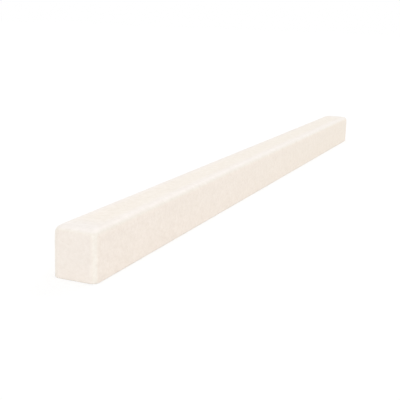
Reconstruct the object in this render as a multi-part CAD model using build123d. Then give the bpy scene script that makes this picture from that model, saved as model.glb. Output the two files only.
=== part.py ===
from build123d import *
import os

# Liner tile: a straight bar of dry-pressed wall-tile trim, fired and glazed in one piece.
# It lies on its back. X runs along the tile, Y across it and Z from the back to the face,
# with the origin at the middle of the back.

# Driving dimensions, in millimetres and degrees.
LENGTH = 300.0
WIDTH = 14.0
THICKNESS = 15.0
# The press eases the four edges of the face and the four upright corners alike.
EASED_RADIUS = 2.2
# The sharp arris round the back is only fettled off.
ARRIS = 0.35
# The back is keyed for adhesive: shallow pockets in one row, with cross ribs left between
# them and a plain land all round, so that no pocket breaks out at a side or an end.
POCKET_LENGTH = 7.5
POCKET_DEPTH = 0.8
POCKET_CORNER_RADIUS = 1.2
# The pocket walls slope by this much, so that the pressed tile leaves its punch.
POCKET_DRAFT = 25.0
RIB_WIDTH = 2.5
SIDE_LAND = 2.6
END_LAND = 5.0

# Sizes that follow from the driving ones.
POCKET_WIDTH = WIDTH - 2 * SIDE_LAND
POCKET_PITCH = POCKET_LENGTH + RIB_WIDTH
POCKET_COUNT = int((LENGTH - 2 * END_LAND + RIB_WIDTH) // POCKET_PITCH)


def pressed_bar():
    """The bar as its die leaves it: eased round the face, square at the back."""
    bar = Box(LENGTH, WIDTH, THICKNESS, align=(Align.CENTER, Align.CENTER, Align.MIN))
    face_edges = bar.faces().sort_by(Axis.Z)[-1].edges()
    upright_corners = bar.edges().filter_by(Axis.Z)
    bar = fillet(face_edges + upright_corners, EASED_RADIUS)
    back_edges = bar.faces().sort_by(Axis.Z)[0].edges()
    return chamfer(back_edges, ARRIS)


def key_pocket():
    """One pocket of the back, widest at its mouth."""
    mouth = RectangleRounded(POCKET_LENGTH, POCKET_WIDTH, POCKET_CORNER_RADIUS)
    return extrude(mouth, POCKET_DEPTH, taper=POCKET_DRAFT)


def liner_tile():
    """The whole tile: the bar with its row of key pockets, centred along the back."""
    pocket = key_pocket()
    row = [place * pocket for place in GridLocations(POCKET_PITCH, 0, POCKET_COUNT, 1)]
    return pressed_bar() - row


tile = liner_tile()
tile.label = "liner_tile"
os.makedirs("parts", exist_ok=True)
export_step(tile, "parts/liner_tile.step")
print(f"{POCKET_COUNT} pockets, {tile.volume / 1000:.1f} cm3, {tile.bounding_box().size}")
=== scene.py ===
import math

import bpy
import numpy as np
from mathutils import Matrix, Vector, noise

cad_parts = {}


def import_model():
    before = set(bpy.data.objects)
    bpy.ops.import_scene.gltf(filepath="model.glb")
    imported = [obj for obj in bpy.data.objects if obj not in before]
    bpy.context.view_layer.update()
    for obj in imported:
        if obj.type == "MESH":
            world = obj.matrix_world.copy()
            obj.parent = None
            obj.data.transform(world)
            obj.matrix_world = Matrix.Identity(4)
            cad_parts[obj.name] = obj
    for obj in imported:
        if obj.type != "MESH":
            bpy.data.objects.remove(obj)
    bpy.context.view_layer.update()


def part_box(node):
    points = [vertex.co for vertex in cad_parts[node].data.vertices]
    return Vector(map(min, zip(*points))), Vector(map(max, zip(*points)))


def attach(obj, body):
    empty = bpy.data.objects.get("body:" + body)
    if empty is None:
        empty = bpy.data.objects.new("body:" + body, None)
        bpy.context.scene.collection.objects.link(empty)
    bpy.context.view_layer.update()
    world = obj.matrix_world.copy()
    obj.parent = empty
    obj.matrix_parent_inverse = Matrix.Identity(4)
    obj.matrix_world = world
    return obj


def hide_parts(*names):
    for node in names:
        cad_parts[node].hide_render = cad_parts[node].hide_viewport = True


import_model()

# A glazed liner tile: one pressed bar, lying on its keyed back. X runs along it, Y across it
# and Z from the back to the face. Lengths are in millimetres up to the mesh, which is in metres.
MM = 0.001
low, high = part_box("liner_tile")
LENGTH, WIDTH, THICKNESS = (high - low) / MM

# The press shape, as in the part.
EASED_RADIUS = 2.2
ARRIS = 0.35
POCKET_LENGTH = 7.5
POCKET_DEPTH = 0.8
POCKET_CORNER_RADIUS = 1.2
POCKET_DRAFT = math.radians(25.0)
POCKET_COUNT = 29
RIB_WIDTH = 2.5
SIDE_LAND = 2.6
POCKET_WIDTH = WIDTH - 2 * SIDE_LAND
POCKET_PITCH = POCKET_LENGTH + RIB_WIDTH
ROW_END = POCKET_PITCH * POCKET_COUNT / 2

# How far the rounding of a pocket's lip and of its floor's corner reaches, and how much of the land
# round the lip a loop of the mesh holds flat.
LIP_REACH = 0.15
FLOOR_CORNER_REACH = 0.20
LIP_MARGIN = 0.45

# Steps of the mesh. A line of points beside each eased edge holds the flat next to it flat.
STEPS_PER_POCKET = 18
EASED_STEPS = 6
ARRIS_STEPS = 3
FACE_STEPS = 16
SIDE_STEPS = 20
END_LAND_STEPS = 4
EDGE_MARGIN = 0.2
# Stations nearer than this are the same one, and points that agree to so many decimals are one vertex.
SAME_STATION = 1e-6
VERTEX_DECIMALS = 4

# Relief of the fired glaze, cut inwards from the pressed shape so that the tile keeps its size.
WAVE_DEPTH = 0.03
WAVE_LENGTH = 17.0
PEEL_DEPTH = 0.012
PEEL_LENGTH = 2.6
RELIEF_FADE = 4 * ARRIS
RELIEF_SEED = Vector((31.7, 8.3, 54.1))
# The face's corners are a little rounder than its edges: how deep this goes, and how far it reaches.
CORNER_DEPTH = 0.20
CORNER_REACH = 5.0


def eased_stations(half):
    """Stations round the two eased ends of a line from -half to half, spaced by equal turns."""
    turns = [math.radians(45.0) * i / EASED_STEPS for i in range(EASED_STEPS)]
    start = half - EASED_RADIUS
    upper = [start - EDGE_MARGIN] + [start + EASED_RADIUS * math.tan(t) for t in turns] + [half]
    return [-u for u in reversed(upper)], upper


def along_stations():
    """Stations along the tile, with one on every line between two pockets."""
    low_end, high_end = eased_stations(LENGTH / 2)
    land = np.linspace(low_end[-1], -ROW_END, END_LAND_STEPS + 1)[1:-1]
    row = np.linspace(-ROW_END, ROW_END, POCKET_COUNT * STEPS_PER_POCKET + 1)
    return np.concatenate([low_end, land, row, -land[::-1], high_end])


def across_stations():
    """Stations across the tile: an eased edge on either side of the flat face."""
    low_end, high_end = eased_stations(WIDTH / 2)
    flat = np.linspace(low_end[-1], high_end[0], FACE_STEPS + 1)[1:-1]
    return np.concatenate([low_end, flat, high_end])


def height_stations():
    """Stations from the back to the face: the arris, the flat side, then the eased edge."""
    turns = [math.radians(90.0) * i / ARRIS_STEPS for i in range(ARRIS_STEPS + 1)]
    foot = [ARRIS * (1 - math.cos(t)) for t in turns] + [2 * ARRIS]
    shoulder = eased_stations(THICKNESS)[1]
    flat = np.linspace(foot[-1], shoulder[0], SIDE_STEPS + 1)[1:-1]
    return np.concatenate([foot, flat, shoulder])


def pressed(points):
    """Moves points of the sharp-edged bar onto the eased one, and gives their outward normals."""
    reach = np.array([LENGTH / 2, WIDTH / 2]) - EASED_RADIUS
    inner = points.copy()
    inner[:, :2] = np.clip(points[:, :2], -reach, reach)
    inner[:, 2] = np.minimum(points[:, 2], THICKNESS - EASED_RADIUS)
    outward = points - inner
    outward /= np.linalg.norm(outward, axis=1)[:, None]
    eased = inner + EASED_RADIUS * outward
    # The foot is drawn in by a quarter round of the arris.
    foot = np.clip(1 - eased[:, 2] / ARRIS, 0, 1)
    eased[:, :2] -= outward[:, :2] * (ARRIS * (1 - np.sqrt(1 - foot ** 2)))[:, None]
    return eased, outward


def relief(points, outward):
    """The softer corners, and the waves and orange peel of the glaze, which die out at the foot."""
    depth = np.empty(len(points))
    for i, point in enumerate(points):
        p = Vector(point)
        wave = noise.noise(p / WAVE_LENGTH + RELIEF_SEED)
        peel = noise.noise(p / PEEL_LENGTH - RELIEF_SEED)
        depth[i] = WAVE_DEPTH * (1 - wave) / 2 + PEEL_DEPTH * (1 - peel) / 2
    fade = np.clip(points[:, 2] / RELIEF_FADE, 0, 1)
    from_edges = np.array([LENGTH / 2, WIDTH / 2, THICKNESS]) - np.abs(points)
    nearness = 1 - np.clip(from_edges / CORNER_REACH, 0, 1)
    corner = CORNER_DEPTH * np.prod(nearness ** 2 * (3 - 2 * nearness), axis=1)
    return points - outward * (depth * fade ** 2 + corner)[:, None]


def skin(points):
    """Points of the sharp-edged bar, in a grid or a row, moved onto the glazed surface."""
    eased, outward = pressed(points.reshape(-1, 3))
    return relief(eased, outward).reshape(points.shape)


class Shell:
    """Vertices and quads, where points that coincide are one vertex."""

    def __init__(self):
        self.vertices = []
        self.faces = []
        self.index = {}

    def vertex(self, point):
        key = tuple(np.round(point, VERTEX_DECIMALS))
        if key not in self.index:
            self.index[key] = len(self.vertices)
            self.vertices.append(point)
        return self.index[key]

    def grid(self, points):
        """Adds a grid of quads over points[row, column]."""
        ids = [[self.vertex(point) for point in row] for row in points]
        for row, after in zip(ids, ids[1:]):
            for c in range(len(row) - 1):
                self.faces.append((row[c], row[c + 1], after[c + 1], after[c]))


def stack(x, y, z):
    """Points from their coordinates, any of which may be one number for all of them."""
    return np.stack(np.broadcast_arrays(x, y, z), axis=-1).astype(float)


def lattice(first, second, build):
    """A grid of points, build(a, b) for each pair of stations of the two lists."""
    a, b = np.meshgrid(first, second, indexing="ij")
    return build(a, b)


def filled(near, right, far, left):
    """Points all over a patch between four sides: near and far run along X, left and right along Y."""
    u = np.linspace(0, 1, len(near))[:, None, None]
    v = np.linspace(0, 1, len(left))[None, :, None]
    between_sides = (1 - v) * near[:, None] + v * far[:, None]
    between_ends = (1 - u) * left[None] + u * right[None]
    corners = ((1 - u) * (1 - v) * near[0] + u * (1 - v) * near[-1]
               + (1 - u) * v * far[0] + u * v * far[-1])
    return between_sides + between_ends - corners


def pocket_profile():
    """How far inside a pocket's mouth, and how deep, each loop lies: the lip, then the floor's corner."""
    inwards = np.array([1.0, 0.0])
    down_wall = np.array([math.sin(POCKET_DRAFT), math.cos(POCKET_DRAFT)])
    mouth = np.zeros(2)
    foot = np.array([math.tan(POCKET_DRAFT), 1.0]) * POCKET_DEPTH
    profile = [mouth - LIP_MARGIN * inwards]
    bends = ((mouth, inwards, down_wall, LIP_REACH), (foot, down_wall, inwards, FLOOR_CORNER_REACH))
    for corner, before, after, reach in bends:
        start, end = corner - before * reach, corner + after * reach
        profile += [start, (start + 2 * corner + end) / 4, end]
    return profile


def pocket_loop(centre, inset, depth, xs, ys):
    """One loop round a pocket, as four sides of points that meet at the middle of its corners."""
    half = np.array([POCKET_LENGTH / 2 - inset, POCKET_WIDTH / 2 - inset])
    radius = POCKET_CORNER_RADIUS - inset
    sides = []
    for x, y in ((xs, -1), (1, ys), (xs, 1), (-1, ys)):
        square = stack(x, y, 0)[..., :2] * half
        inner = np.clip(square, radius - half, half - radius)
        away = square - inner
        rounded = inner + radius * away / np.linalg.norm(away, axis=-1)[:, None]
        sides.append(stack(rounded[:, 0] + centre, rounded[:, 1], depth))
    return sides


def key_cell(shell, centre, cell_x, across):
    """The part of the back round one pocket, from its flat land down to the pocket's floor."""
    edge = across[-1]
    loops = [[stack(cell_x, -edge, 0), stack(cell_x[-1], across, 0),
              stack(cell_x, edge, 0), stack(cell_x[0], across, 0)]]
    xs = np.linspace(-1, 1, len(cell_x))
    ys = np.linspace(-1, 1, len(across))
    loops += [pocket_loop(centre, inset, depth, xs, ys) for inset, depth in pocket_profile()]
    for outer, inner in zip(loops, loops[1:]):
        for side, (a, b) in enumerate(zip(outer, inner)):
            shell.grid(np.stack([b, a] if side < 2 else [a, b]))
    shell.grid(filled(*loops[-1]))


def end_land(shell, sign, along, across, line):
    """The plain part of the back between the row of pockets and one end."""
    xs = along[along <= -ROW_END + SAME_STATION]
    near, far = [skin(stack(xs, y, 0)) for y in (-WIDTH / 2, WIDTH / 2)]
    outer = skin(stack(-LENGTH / 2, across, 0))
    inner = stack(-ROW_END, line, 0)
    patch = filled(near, inner, far, outer)
    patch[..., 0] *= -sign
    shell.grid(patch if sign < 0 else patch[::-1])


def tile_mesh():
    """The whole tile as one closed mesh: the face, the long sides, the ends, then the back."""
    along, across, up = along_stations(), across_stations(), height_stations()
    shell = Shell()
    shell.grid(skin(lattice(across, along, lambda y, x: stack(x, y, THICKNESS))))
    shell.grid(skin(lattice(up, along, lambda z, x: stack(x, -WIDTH / 2, z))))
    shell.grid(skin(lattice(along, up, lambda x, z: stack(x, WIDTH / 2, z))))
    shell.grid(skin(lattice(across, up, lambda y, z: stack(-LENGTH / 2, y, z))))
    shell.grid(skin(lattice(up, across, lambda z, y: stack(LENGTH / 2, y, z))))

    # The back: a plain land at each end, with a cell for each pocket between them.
    edge = WIDTH / 2 - ARRIS
    line = np.linspace(-edge, edge, len(across))
    for sign in (-1, 1):
        end_land(shell, sign, along, across, line)
    for i in range(POCKET_COUNT):
        centre = POCKET_PITCH * (i - (POCKET_COUNT - 1) / 2)
        cell_x = along[np.abs(along - centre) <= POCKET_PITCH / 2 + SAME_STATION]
        key_cell(shell, centre, cell_x, line)

    mesh = bpy.data.meshes.new("liner_tile_body")
    mesh.from_pydata([tuple(v) for v in np.array(shell.vertices) * MM], [], shell.faces)
    mesh.shade_smooth()
    mesh.update()
    return mesh


class Nodes:
    """The node tree of a material or world, with short ways to add to it."""

    def __init__(self, owner):
        owner.use_nodes = True
        self.tree = owner.node_tree
        self.tree.nodes.clear()

    def add(self, kind, inputs=None, **settings):
        """Adds a node; an input that is a socket is linked, and any other value is set."""
        made = self.tree.nodes.new(kind)
        for name, value in settings.items():
            setattr(made, name, value)
        for name, value in (inputs or {}).items():
            if isinstance(value, bpy.types.NodeSocket):
                self.tree.links.new(value, made.inputs[name])
            else:
                made.inputs[name].default_value = value
        return made

    def maths(self, operation, a, b=0.0):
        return self.add("ShaderNodeMath", {0: a, 1: b}, operation=operation).outputs[0]

    def vectors(self, operation, a, b):
        return self.add("ShaderNodeVectorMath", {0: a, 1: b}, operation=operation).outputs[0]

    def scaled(self, vector, factor):
        return self.add("ShaderNodeVectorMath", {0: vector, 3: factor}, operation="SCALE").outputs[0]

    def split(self, vector):
        return self.add("ShaderNodeSeparateXYZ", {0: vector}).outputs

    def ramp(self, value, start, stop, first, last):
        """Goes smoothly from first to last while the value goes from start to stop."""
        made = self.add("ShaderNodeMapRange", {"Value": value, "From Min": start, "From Max": stop,
                                               "To Min": first, "To Max": last},
                        interpolation_type="SMOOTHSTEP")
        return made.outputs["Result"]

    def blend(self, factor, a, b):
        """Goes from colour a to colour b. Inputs 6 and 7 of the node are its colours."""
        return self.add("ShaderNodeMix", {0: factor, 6: a, 7: b}, data_type="RGBA").outputs[2]

    def grain(self, place, size, detail=2.0, roughness=0.5):
        """Cloudy noise with clouds of about the size, from 0 to 1 and 0.5 on average."""
        made = self.add("ShaderNodeTexNoise", {"Vector": place, "Scale": 1 / size, "Detail": detail,
                                               "Roughness": roughness})
        return made.outputs["Fac"]


# A pair of numbers below gives where a change begins and where it is complete, unless it says otherwise.
WHITE = (1.0, 1.0, 1.0, 1.0)
# The colours, linear, by which way a spot faces: lit and shaded copies of one glaze colour. The long
# sides, the ends and their foot, which is painted paler against the shade near the floor, the middle of
# the face, painted lighter than the sides, its shoulders, painted paler as a highlight, and the eased
# edges below them, also a painted highlight.
SIDE_TINT = (0.884, 0.799, 0.714)
END_TINT = (0.864, 0.794, 0.727, 1.0)
END_FOOT_LIGHT_TINT = (0.886, 0.814, 0.745, 1.0)
FACE_TINT = (0.906, 0.837, 0.753, 1.0)
SHOULDER_HIGHLIGHT_TINT = (0.904, 0.848, 0.799, 1.0)
EDGE_HIGHLIGHT_TINT = (0.882, 0.829, 0.754, 1.0)
# Painted shade along the tile, which darkens face and sides towards the +X end to even out the sheen
# that they show there: the factor at either end.
FACE_SHADE_ALONG = ((1.008, 1.008, 1.013, 1.0), (0.967, 0.967, 0.965, 1.0))
SIDE_SHADE_ALONG = ((1.002, 1.002, 1.008, 1.0), (0.994, 0.998, 0.984, 1.0))
# Painted shade on the long eased edges, which tones their highlight down, and where along the tile it
# begins to fade and where it has gone.
LONG_EDGE_SHADE = (0.972, 0.968, 0.958, 1.0)
LONG_EDGE_SHADE_STOP = (-50.0, 80.0)

# How squarely a spot faces along an axis where an eased edge turns into a flat, how far up it faces
# where side turns into face, and how far a long edge faces along the tile where it turns into an end's.
EDGE_TO_FLAT = (0.80, 0.98)
SIDE_TO_FACE = (0.50, 0.90)
LONG_EDGE_TO_END = (0.1, 0.3)
# How far in from the sides and from the ends the painted highlight on the face's shoulders fades, and how
# high the painted light on the foot of the ends reaches.
SIDE_SHOULDER = (0.3, 5.0)
END_SHOULDER = (3.0, 14.0)
END_FOOT_LIGHT_REACH = 8.0

# The glaze's clouds: how large they are, and how deeply they shade the sides and the face.
CLOUDS = ((0.8, 0.15, 0.06), (1.9, 0.11, 0.15), (7.0, 0.05, 0.05))
# What is darker is also browner, so blue follows the shade more than red.
SHADE_TINT = (0.85, 1.0, 1.2)
# On the ends the shade is this much fainter.
END_CALM = 0.75
# The specks: their size and rim, and how much they darken the glaze. They gather in patches, and
# between those this share of them is left.
SPECK_SIZE = 0.7
SPECK_RIM = (0.62, 0.74)
SPECK_DEPTH = 0.075
PATCH_SIZE = 5.0
PATCH_RIM = (0.48, 0.62)
LEFT_BETWEEN = 0.15

# Roughness of the glaze, lowest and highest, in clouds of this size, and how much rougher bare clay is.
GLAZE_ROUGHNESS = (0.46, 0.58)
ROUGHNESS_SIZE = 1.2
CLAY_ROUGHER = 0.35
# The noise levels between which nearly all of it lies.
NOISE_SPAN = (0.3, 0.7)
# The fine grit of the surface, how high it stands, and how deep a speck lies, as a share of that.
GRIT_SIZE = 0.28
GRIT_HEIGHT = 0.02
SPECK_PIT = 0.8
GLAZE_IOR = 1.5

# The lowest and highest place of the line where the glaze ends above the back, how long its waves are,
# and half the width over which it fades.
GLAZE_LINE = (-0.02, 0.06)
GLAZE_LINE_WAVE = 3.0
GLAZE_LINE_FADE = 0.05
# How far in from the tile's walls the unglazed pockets can begin.
POCKET_START = (0.5, 1.0)
# The two colours of the bare clay, and the size of its grain.
CLAY_TINTS = ((0.82, 0.73, 0.63, 1.0), (0.74, 0.64, 0.54, 1.0))
CLAY_GRAIN = 0.5
# The pale wash that keeps the lands of the back off the kiln's rollers: its clouds and their rim, how
# much it covers between them and in them, and the height above the lands at which it ends.
WASH_TINT = (0.90, 0.87, 0.82, 1.0)
WASH_SIZE = 1.6
WASH_RIM = (0.4, 0.6)
WASH_COVER = (0.3, 0.9)
WASH_END = (0.02, 0.15)


def glaze_tint_with_painted_light(nodes, turned, place, from_side, from_end):
    """Glaze colour by which way a spot faces, with painted light and shade on face, edges and ends."""
    facing = {axis: nodes.maths("ABSOLUTE", turned[axis]) for axis in "XYZ"}
    flatness = nodes.maths("MAXIMUM", nodes.maths("MAXIMUM", facing["X"], facing["Y"]), facing["Z"])
    on_edge = nodes.ramp(flatness, *EDGE_TO_FLAT, 1.0, 0.0)
    on_end = nodes.ramp(facing["X"], *EDGE_TO_FLAT, 0.0, 1.0)
    on_face = nodes.ramp(turned["Z"], *SIDE_TO_FACE, 0.0, 1.0)
    # Painted highlight: the face is paler near its sides and ends.
    shoulder = nodes.maths("MAXIMUM", nodes.ramp(from_side, *SIDE_SHOULDER, 1.0, 0.0),
                           nodes.ramp(from_end, *END_SHOULDER, 1.0, 0.0))
    # Painted shade along the tile, darker towards the +X end.
    along = nodes.ramp(place["X"], -LENGTH / 2, LENGTH / 2, 0.0, 1.0)
    face_tint = nodes.vectors("MULTIPLY", nodes.blend(shoulder, FACE_TINT, SHOULDER_HIGHLIGHT_TINT),
                              nodes.blend(along, *FACE_SHADE_ALONG))
    side_tint = nodes.vectors("MULTIPLY", SIDE_TINT, nodes.blend(along, *SIDE_SHADE_ALONG))
    # Painted light: the ends are paler near their foot, against the shade near the floor.
    end_tint = nodes.blend(nodes.ramp(place["Z"], 0.0, END_FOOT_LIGHT_REACH, 1.0, 0.0), END_TINT, END_FOOT_LIGHT_TINT)
    # Painted highlight: the eased edges are paler and whiter than the flats beside them.
    upright = nodes.blend(on_edge, nodes.blend(on_end, side_tint, end_tint), EDGE_HIGHLIGHT_TINT)
    # The face is painted lighter than the sides and ends.
    tint = nodes.blend(on_face, upright, face_tint)
    # Painted shade on the long eased edges, fading out along the tile.
    on_long_edge = nodes.maths("MULTIPLY", on_edge,
                               nodes.ramp(facing["X"], *LONG_EDGE_TO_END, 1.0, 0.0))
    long_edge_shade = nodes.maths("MULTIPLY", on_long_edge,
                           nodes.ramp(place["X"], *LONG_EDGE_SHADE_STOP, 1.0, 0.0))
    tint = nodes.vectors("MULTIPLY", tint, nodes.blend(long_edge_shade, WHITE, LONG_EDGE_SHADE))
    return tint, on_face, on_end


def glaze_shade(nodes, mm, speck, on_face, on_end):
    """How the glaze departs from its tint: clouds of three sizes, and specks that gather in patches."""
    patches = nodes.ramp(nodes.grain(mm, PATCH_SIZE, roughness=0.6), *PATCH_RIM, LEFT_BETWEEN, 1.0)
    shade = nodes.maths("MULTIPLY", nodes.maths("MULTIPLY", speck, patches), -SPECK_DEPTH)
    for size, side_depth, face_depth in CLOUDS:
        cloud = nodes.maths("SUBTRACT", nodes.grain(mm, size), 0.5)
        depth = nodes.ramp(on_face, 0.0, 1.0, side_depth, face_depth)
        shade = nodes.maths("ADD", shade, nodes.maths("MULTIPLY", cloud, depth))
    shade = nodes.maths("MULTIPLY", shade, nodes.ramp(on_end, 0.0, 1.0, 1.0, END_CALM))
    return nodes.vectors("ADD", nodes.scaled(SHADE_TINT, shade), (1.0, 1.0, 1.0))


def bare_clay(nodes, mm, height, from_wall):
    """How bare of glaze the clay is, from 0 to 1, and its colour under what is left of the wash."""
    # The glaze ends just above the back, in an uneven line, and the key pockets have none.
    glaze_line = nodes.ramp(nodes.grain(mm, GLAZE_LINE_WAVE), *NOISE_SPAN, *GLAZE_LINE)
    at_foot = nodes.ramp(nodes.maths("SUBTRACT", height, glaze_line), -GLAZE_LINE_FADE,
                         GLAZE_LINE_FADE, 1.0, 0.0)
    in_pocket = nodes.maths("MULTIPLY", nodes.ramp(from_wall, *POCKET_START, 0.0, 1.0),
                            nodes.ramp(height, POCKET_DEPTH, 2 * POCKET_DEPTH, 1.0, 0.0))
    bare = nodes.maths("MAXIMUM", at_foot, in_pocket)
    clay = nodes.blend(nodes.grain(mm, CLAY_GRAIN, detail=4.0, roughness=0.7), *CLAY_TINTS)
    cover = nodes.ramp(nodes.grain(mm, WASH_SIZE, detail=3.0), *WASH_RIM, *WASH_COVER)
    washed = nodes.maths("MULTIPLY", cover, nodes.ramp(height, *WASH_END, 1.0, 0.0))
    return bare, nodes.blend(washed, clay, WASH_TINT)


def glaze_material():
    """Matt cream glaze with fine speckle, over a bare clay back."""
    material = bpy.data.materials.new("matt_cream_glaze")
    nodes = Nodes(material)
    coordinates = nodes.add("ShaderNodeTexCoord").outputs
    mm = nodes.scaled(coordinates["Object"], 1 / MM)
    place, turned = nodes.split(mm), nodes.split(coordinates["Normal"])
    from_side = nodes.maths("SUBTRACT", WIDTH / 2, nodes.maths("ABSOLUTE", place["Y"]))
    from_end = nodes.maths("SUBTRACT", LENGTH / 2, nodes.maths("ABSOLUTE", place["X"]))

    speck = nodes.ramp(nodes.grain(mm, SPECK_SIZE, detail=1.0), *SPECK_RIM, 0.0, 1.0)
    tint, on_face, on_end = glaze_tint_with_painted_light(nodes, turned, place, from_side, from_end)
    glaze = nodes.vectors("MULTIPLY", tint, glaze_shade(nodes, mm, speck, on_face, on_end))

    bare, clay = bare_clay(nodes, mm, place["Z"], nodes.maths("MINIMUM", from_side, from_end))
    colour = nodes.blend(bare, glaze, clay)

    grit = nodes.grain(mm, GRIT_SIZE, detail=3.0, roughness=0.6)
    height = nodes.maths("ADD", grit, nodes.maths("MULTIPLY", speck, -SPECK_PIT))
    bump = nodes.add("ShaderNodeBump", {"Height": height, "Distance": GRIT_HEIGHT * MM, "Strength": 1.0})
    glaze_roughness = nodes.ramp(nodes.grain(mm, ROUGHNESS_SIZE), *NOISE_SPAN, *GLAZE_ROUGHNESS)
    roughness = nodes.maths("ADD", glaze_roughness, nodes.maths("MULTIPLY", bare, CLAY_ROUGHER))
    shader = nodes.add("ShaderNodeBsdfPrincipled", {"Base Color": colour, "Roughness": roughness,
                                                    "Normal": bump.outputs[0], "IOR": GLAZE_IOR})
    nodes.add("ShaderNodeOutputMaterial", {"Surface": shader.outputs[0]})
    return material


def liner_tile():
    piece = bpy.data.objects.new("liner_tile_body", tile_mesh())
    bpy.context.scene.collection.objects.link(piece)
    piece.data.materials.append(glaze_material())
    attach(piece, "root")
    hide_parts("liner_tile")


# The studio, in metres and watts: a white dome, a white floor and three soft lamps far away.
DOME_STRENGTH = 0.80
FLOOR_HALF = 6.0
# How much light the floor gives back, and how much of its light and shade a viewer sees.
FLOOR_BOUNCE = WHITE
FLOOR_SHADE = (0.45, 0.45, 0.45, 1.0)
# How strongly dome and lamps light the floor near the tile. Far away only the dome does.
NEAR_LIGHT = 0.97
# The glow that lifts the lit floor to white, near the tile and far from it, and the distances between
# which the one turns into the other.
NEAR_GLOW = 1.0 - NEAR_LIGHT * FLOOR_SHADE[0]
FAR_GLOW = 1.0 - DOME_STRENGTH * FLOOR_SHADE[0]
NEAR_REACH = 0.25
FAR_REACH = 0.60
LAMP_DISTANCE = 4.0
LAMP_SIZE = 1.75
# Each lamp's direction from the tile, and its power.
LAMPS = {
    "key": (Vector((-0.80, -0.43, 0.42)), 26.8),
    "back": (Vector((0.76, -0.12, 0.64)), 17.6),
    "top": (Vector((0.0, 0.0, 1.0)), 14.0),
}


def shown_to_viewer(nodes):
    """One for what the camera sees, straight or in a reflection, and nought for light."""
    path = nodes.add("ShaderNodeLightPath").outputs
    in_glass = nodes.maths("MAXIMUM", path["Is Glossy Ray"], path["Is Transmission Ray"])
    return nodes.maths("MAXIMUM", path["Is Camera Ray"], in_glass)


def world():
    """The dome, which lights the tile less brightly than the white that a viewer sees of it."""
    made = bpy.data.worlds.new("white_studio")
    bpy.context.scene.world = made
    nodes = Nodes(made)
    light = nodes.add("ShaderNodeBackground", {"Color": WHITE, "Strength": DOME_STRENGTH})
    white = nodes.add("ShaderNodeBackground", {"Color": WHITE, "Strength": 1.0})
    mix = nodes.add("ShaderNodeMixShader", {0: shown_to_viewer(nodes), 1: light.outputs[0],
                                            2: white.outputs[0]})
    nodes.add("ShaderNodeOutputWorld", {"Surface": mix.outputs[0]})


def floor_material():
    """White wherever the floor is lit, with a faint shadow of the tile."""
    material = bpy.data.materials.new("white_floor")
    # The glow is only seen. Sampled as a lamp, it would darken the tile's reflections unevenly.
    material.cycles.emission_sampling = "NONE"
    nodes = Nodes(material)
    bounce = nodes.add("ShaderNodeBsdfDiffuse", {"Color": FLOOR_BOUNCE})
    shaded = nodes.add("ShaderNodeBsdfDiffuse", {"Color": FLOOR_SHADE})
    place = nodes.add("ShaderNodeTexCoord").outputs["Object"]
    distance = nodes.add("ShaderNodeVectorMath", {0: place}, operation="LENGTH").outputs["Value"]
    strength = nodes.ramp(distance, NEAR_REACH, FAR_REACH, NEAR_GLOW, FAR_GLOW)
    glow = nodes.add("ShaderNodeEmission", {"Color": WHITE, "Strength": strength})
    seen = nodes.add("ShaderNodeAddShader", {0: shaded.outputs[0], 1: glow.outputs[0]})
    mix = nodes.add("ShaderNodeMixShader", {0: shown_to_viewer(nodes), 1: bounce.outputs[0],
                                            2: seen.outputs[0]})
    nodes.add("ShaderNodeOutputMaterial", {"Surface": mix.outputs[0]})
    return material


def floor():
    """A level floor at the plane that the tile lies on."""
    mesh = bpy.data.meshes.new("floor")
    r = FLOOR_HALF
    mesh.from_pydata([(-r, -r, 0), (r, -r, 0), (r, r, 0), (-r, r, 0)], [], [(0, 1, 2, 3)])
    made = bpy.data.objects.new("floor", mesh)
    made.location.z = low.z
    bpy.context.scene.collection.objects.link(made)
    made.data.materials.append(floor_material())


def lamp(name, direction, power):
    """A round softbox that stands in the given direction and faces the tile."""
    data = bpy.data.lights.new(name, "AREA")
    data.shape = "DISK"
    data.size = LAMP_SIZE
    data.energy = power
    made = bpy.data.objects.new(name, data)
    made.location = direction.normalized() * LAMP_DISTANCE
    made.rotation_euler = direction.to_track_quat("Z", "Y").to_euler()
    bpy.context.scene.collection.objects.link(made)


# The photograph's camera: where it looks, from which side, how far away, and its lens.
CAMERA_TARGET = Vector((-63.57, 0.0, 4.99)) * MM
CAMERA_DISTANCE = 282.1 * MM
CAMERA_AZIMUTH = math.radians(-66.939)
CAMERA_ELEVATION = math.radians(13.416)
CAMERA_ROLL = math.radians(1.807)
CAMERA_LENS = 67.784
SENSOR_WIDTH = 36.0
CLIP_START = 0.01


def camera():
    data = bpy.data.cameras.new("camera")
    data.lens = CAMERA_LENS
    data.sensor_width = SENSOR_WIDTH
    data.clip_start = CLIP_START
    made = bpy.data.objects.new("camera", data)
    level = math.cos(CAMERA_ELEVATION)
    back = Vector((math.sin(CAMERA_AZIMUTH) * level, -math.cos(CAMERA_AZIMUTH) * level,
                   math.sin(CAMERA_ELEVATION)))
    turn = back.to_track_quat("Z", "Y").to_matrix() @ Matrix.Rotation(CAMERA_ROLL, 3, "Z")
    made.matrix_world = Matrix.Translation(CAMERA_TARGET + back * CAMERA_DISTANCE) @ turn.to_4x4()
    bpy.context.scene.collection.objects.link(made)
    bpy.context.scene.camera = made


liner_tile()
world()
floor()
for name, (direction, power) in LAMPS.items():
    lamp(name, direction, power)
camera()
bpy.context.scene.view_settings.view_transform = "Standard"
